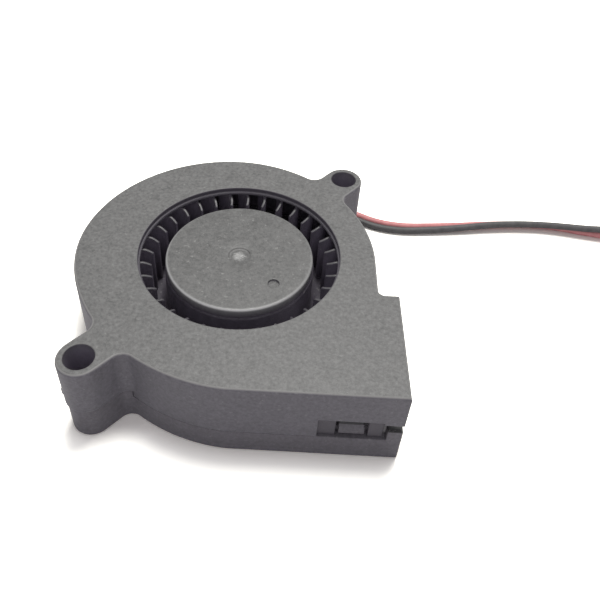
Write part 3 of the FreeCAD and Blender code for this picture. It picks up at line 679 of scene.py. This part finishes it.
def one_blade():
    """A blade bent along one arc, with its inner top corner cut on a slope."""
    lean = math.radians(blade_stagger)
    half = math.radians(blade_turn / 2)
    chord = math.sqrt(blade_outer ** 2 - (blade_inner * math.sin(lean)) ** 2) - blade_inner * math.cos(lean)
    bend = chord / 2 / math.sin(half)
    cx = blade_inner + chord / 2 * math.cos(lean) - bend * math.cos(half) * math.sin(lean)
    cy = chord / 2 * math.sin(lean) + bend * math.cos(half) * math.cos(lean)
    mesh = bmesh.new()
    rows = []
    for k in range(blade_stations + 1):
        angle = lean - math.pi / 2 - half + 2 * half * k / blade_stations
        row = []
        for side in (-1, 1):
            r = bend + side * blade_thickness / 2
            x, y = cx + r * math.cos(angle), cy + r * math.sin(angle)
            reach = math.hypot(x, y) - blade_inner
            top = blade_top - blade_drop * max(0, 1 - reach / blade_run)
            for z in (plate_high - blade_root, top):
                row.append(mesh.verts.new((x * MM, y * MM, z * MM)))
        rows.append(row)
    for here, there in zip(rows, rows[1:]):
        for a, b in ((0, 1), (1, 3), (3, 2), (2, 0)):
            mesh.faces.new((here[a], here[b], there[b], there[a]))
    mesh.faces.new((rows[0][0], rows[0][2], rows[0][3], rows[0][1]))
    mesh.faces.new((rows[-1][0], rows[-1][1], rows[-1][3], rows[-1][2]))
    bmesh.ops.recalc_face_normals(mesh, faces=mesh.faces)
    edges = [edge for edge in mesh.edges if is_sharp(edge)]
    bmesh.ops.bevel(mesh, geom=edges, offset=blade_edge * MM, segments=2, affect="EDGES", profile=0.6)
    data = bpy.data.meshes.new("one_blade")
    mesh.to_mesh(data)
    mesh.free()
    return data


def blade_tree():
    """Copies of the given blade spaced evenly round the rotor axis."""
    tree, given = start_shape("blade_ring", {
        "Blade": "Geometry", "Count": "Int", "Phase": "Float", "Finish": "Material"})
    seats = add_node(tree, "GeometryNodeMeshLine", {"Count": given["Count"], "Offset": (0, 0, 0)})
    index = tree.nodes.new("GeometryNodeInputIndex").outputs["Index"]
    step = add_math(tree, "DIVIDE", 2 * math.pi, given["Count"])
    turn = add_node(tree, "ShaderNodeCombineXYZ", {
        "Z": add_math(tree, "MULTIPLY_ADD", index, step, given["Phase"])})
    copies = add_node(tree, "GeometryNodeInstanceOnPoints", {
        "Points": seats.outputs["Mesh"], "Instance": given["Blade"], "Rotation": turn.outputs["Vector"]})
    end_shape(tree, copies, given["Finish"])
    return tree


def highlight_edges(finish, share_name, gain, gloss):
    """Paint a highlight on a moulding, paler and less rough where its mesh's named share marks an edge."""
    tree = finish.node_tree
    rough = tree.nodes["Principled BSDF"].inputs["Roughness"]
    hub_highlight = add_node(tree, "ShaderNodeAttribute", attribute_name=share_name).outputs["Fac"]
    change_colour(finish, hub_highlight, None, (gain, gain, gain))
    tree.links.new(add_math(tree, "MULTIPLY_ADD", hub_highlight, gloss, rough.links[0].from_socket), rough)


# The wheel's depths are painted darker as painted shade.
impeller_plastic = moulded("impeller_plastic", impeller_shaded_colour, roughness=0.42, grain_depth=0.00003,
                           specks=0.4, face=(*wheel_face_levels, wheel_face_colour, 0.6, None), hollow_fill=0.8)
# Painted highlight round the hub's top edge, with lower roughness there.
highlight_edges(impeller_plastic, "hub_highlight", gain=0.42, gloss=-0.12)
blades = grow(new_piece("blades", one_blade()), blade_tree(), {
    "Count": blade_count, "Phase": math.radians(blade_phase), "Finish": impeller_plastic})
impeller = new_piece("impeller_wheel", wheel_body())
cutter_mesh = bmesh.new()
bmesh.ops.create_cone(cutter_mesh, cap_ends=True, segments=40, radius1=recess_bottom, radius2=recess_top,
                      depth=recess_height, matrix=Matrix.Translation(recess_place))
cutter = new_piece("recess_cutter")
cutter_mesh.to_mesh(cutter.data)
cutter_mesh.free()
recess = impeller.modifiers.new("recess", "BOOLEAN")
recess.operation = "DIFFERENCE"
recess.solver = "EXACT"
recess.object = cutter
cut_mesh = bpy.data.meshes.new_from_object(impeller.evaluated_get(bpy.context.evaluated_depsgraph_get()))
impeller.modifiers.clear()
bpy.data.objects.remove(cutter)
joined = bmesh.new()
joined.from_mesh(cut_mesh)
joined.from_mesh(blades.data)
joined.to_mesh(cut_mesh)
joined.free()
bpy.data.objects.remove(blades)
impeller.data = cut_mesh
impeller.data.materials.clear()
impeller.data.materials.append(impeller_plastic)
# Painted highlight: a share round the hub's top edge, strongest at the front as the wheel stands at rest.
hub_highlight = impeller.data.attributes.new("hub_highlight", "FLOAT", "POINT")
for point, vert in zip(hub_highlight.data, impeller.data.vertices):
    reach = math.hypot(vert.co.x, vert.co.y) / MM
    near = 1 - min(1, abs(reach - hub_radius + hub_highlight_inset) / hub_highlight_reach)
    side = 0.6 - 0.4 * math.sin(math.atan2(vert.co.y, vert.co.x) + 0.3)
    point.value = near * side if vert.co.z / MM > hub_top - hub_highlight_depth else 0
impeller.data.set_sharp_from_angle(angle=smooth_limit)
for face in impeller.data.polygons:
    face.use_smooth = True
    face.material_index = 0
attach(impeller, "rotor")
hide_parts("impeller")


# Gate mark
# The stub of the impeller's moulding gate, torn off in its well at the hub's centre. It is
# the same plastic, rough and paler than the rest.
gate_radius = 1.35
gate_rings, gate_points = 11, 48
gate_core = 1.25
gate_floor = hub_top - gate_well_depth - 0.002


def torn_level(x, y):
    """Level of the torn stub's top over a place, all in millimetres."""
    edge = max(0.0, 1 - (x * x + y * y) / gate_radius ** 2)
    ridge = 0.5 + 0.5 * noise.noise(Vector((x * 1.7 + 3.1, y * 2.1 - 1.7, 4.0)))
    crumb = noise.noise(Vector((x * 5.0, y * 5.0, 9.0)))
    return gate_floor + edge ** 0.6 * (0.06 + 0.22 * ridge + 0.08 * crumb)


mark = bmesh.new()
rings = []
for ring in range(gate_rings):
    reach = gate_radius * (1 - ring / gate_rings)
    rings.append([])
    for step in range(gate_points):
        angle = 2 * math.pi * step / gate_points
        x, y = reach * math.cos(angle), reach * math.sin(angle)
        rings[-1].append(mark.verts.new((x * MM, y * MM, torn_level(x, y) * MM)))
middle = mark.verts.new((0, 0, torn_level(0, 0) * MM))
for k in range(gate_points):
    n = (k + 1) % gate_points
    for wide, narrow in zip(rings, rings[1:]):
        mark.faces.new((wide[k], wide[n], narrow[n], narrow[k]))
    mark.faces.new((rings[-1][k], rings[-1][n], middle))
mark_mesh = bpy.data.meshes.new("gate_mark")
mark.to_mesh(mark_mesh)
mark.free()
gate_mark = new_piece("gate_mark", mark_mesh)
torn, tree, surface = start_finish("torn_plastic", 0.3)
centred = add_node(tree, "ShaderNodeMapping", {
    "Vector": own_place(tree), "Location": (0.12, 0.1, -hub_top / gate_core),
    "Scale": (1 / (gate_core * MM),) * 3})
core = add_node(tree, "ShaderNodeTexGradient", {"Vector": centred.outputs["Vector"]},
                gradient_type="SPHERICAL")
crumbs = add_math(tree, "MULTIPLY_ADD", core.outputs["Fac"], 0.7, add_noise(tree, 0.0007, 5, 0.8))
paint(tree, surface, crumbs, 0.6, 0.98, (0.10, 0.10, 0.098), (0.30, 0.30, 0.295))
add_bump(tree, surface, add_noise(tree, 0.00025, 4, 0.7), 0.00008)
mark_mesh.materials.append(torn)
for face in mark_mesh.polygons:
    face.use_smooth = True
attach(gate_mark, "rotor")


# Inlet shell
# The upper moulding in the same plastic, snapped over the base once the rotor is in. Its
# walls' purple tint is painted, for the tint of their shade, and its top face is painted
# darker than the walls, as painted shade against the overhead light. The ledge in its inlet
# and the floor of its snap recess are painted darker, as painted shade.
# Wall tone, with a purple tint painted in for the tint of their shade.
shell_colour = (0.126, 0.12, 0.134)
top_levels = (14.985 * MM, 14.997 * MM)
# Painted shade: the top face is painted darker and neutral against the overhead light.
top_colour = (0.107, 0.107, 0.1055)
# Painted highlight along the top face's rounded edge.
top_edge_highlight_colour = (0.215, 0.212, 0.205)
# Painted shade for the inlet's ledge and the snap recess floor.
ledge_shade = (0.075, 0.068, 0.083)
ledge_radii = (16.34 * MM, 16.42 * MM)
ledge_heights = (14.12 * MM, 14.06 * MM)
recess_shade = (0.085, 0.079, 0.09)
shell_plastic = moulded("shell_plastic", shell_colour, roughness=0.5, grain_depth=0.00003, specks=0.25,
                        face=(*top_levels, top_colour, 0.6, top_edge_highlight_colour), hollow_fill=0.8)
tree = shell_plastic.node_tree
place = own_place(tree)
flat = add_node(tree, "ShaderNodeMapping", {"Vector": place, "Scale": (1, 1, 0)})
reach = add_node(tree, "ShaderNodeVectorMath", {0: flat.outputs["Vector"]}, operation="LENGTH")
height = add_node(tree, "ShaderNodeSeparateXYZ", {"Vector": place})
past_ledge = add_share(tree, reach.outputs["Value"], *ledge_radii)
below_ledge = add_share(tree, height.outputs["Z"], *ledge_heights)
# Painted shade on the inlet's ledge, inside its radius and above its lower wall.
change_colour(shell_plastic, add_math(tree, "MAXIMUM", past_ledge, below_ledge), ledge_shade, None)
# Painted shade on the floor of the snap recess.
shade_patch(shell_plastic, centre=(16.6, -26.15, 5.0), reach=(9.0, 0.45, 5.0), colour=recess_shade)
dress(shell_plastic, "inlet_shell")


# Table and light
# A white sheet, one softbox above and a little behind, and a weak wide one in front. The top
# comes out mid grey, the front walls darker, and the sheet is shaded where pieces rest on it.
open_paper = (2.2, 2.19, 2.06)
shaded_paper = (1.1, 1.07, 1.0)
shade_reach = 5 * MM
bpy.ops.mesh.primitive_plane_add(size=0.7)
table = bpy.context.object
table.name = "table"
paper, tree, surface = start_finish("white_table", 0.95)
surface.inputs["Base Color"].default_value = (0.80, 0.79, 0.80, 1)
contact = add_node(tree, "ShaderNodeAmbientOcclusion", {"Distance": shade_reach}, samples=8).outputs["AO"]
seen = add_node(tree, "ShaderNodeBsdfDiffuse", {
    "Color": add_mix(tree, add_share(tree, contact, 0.55, 0.9), shaded_paper, open_paper)})
ray = tree.nodes.new("ShaderNodeLightPath").outputs
direct = add_math(tree, "MAXIMUM", ray["Is Camera Ray"], ray["Is Transmission Ray"])
choose = add_node(tree, "ShaderNodeMixShader", {0: direct, 1: surface.outputs[0], 2: seen.outputs[0]})
tree.links.new(choose.outputs[0], tree.nodes["Material Output"].inputs["Surface"])
table.data.materials.append(paper)


def softbox(name, place, size, power, colour):
    """Round softbox aimed at the blower."""
    lamp = bpy.data.lights.new(name, "AREA")
    lamp.shape = "DISK"
    lamp.size = size
    lamp.energy = power
    lamp.color = colour
    box = bpy.data.objects.new(name, lamp)
    box.location = place
    box.rotation_euler = (-Vector(place)).to_track_quat("-Z", "Y").to_euler()
    scene.collection.objects.link(box)


softbox("overhead", (0.03, 0.12, 0.39), size=0.20, power=1.4, colour=(1.0, 0.99, 0.96))
softbox("front fill", (0, -0.3, 0.3), size=0.5, power=0.33, colour=(0.93, 0.88, 1.0))
world = bpy.data.worlds.new("studio")
world.use_nodes = True
tree = world.node_tree
dim = tree.nodes["Background"]
dim.inputs["Color"].default_value = (0.97, 0.97, 0.98, 1)
dim.inputs["Strength"].default_value = 0.33
white = add_node(tree, "ShaderNodeBackground", {"Color": (1, 1, 1, 1), "Strength": 1.0})
ray = tree.nodes.new("ShaderNodeLightPath").outputs
direct = add_math(tree, "MAXIMUM", ray["Is Camera Ray"], ray["Is Glossy Ray"])
clear = add_math(tree, "MAXIMUM", direct, ray["Is Transmission Ray"])
choose = add_node(tree, "ShaderNodeMixShader", {0: clear, 1: dim.outputs[0], 2: white.outputs[0]})
tree.links.new(choose.outputs[0], tree.nodes["World Output"].inputs["Surface"])
scene.world = world
scene.view_settings.view_transform = "Standard"
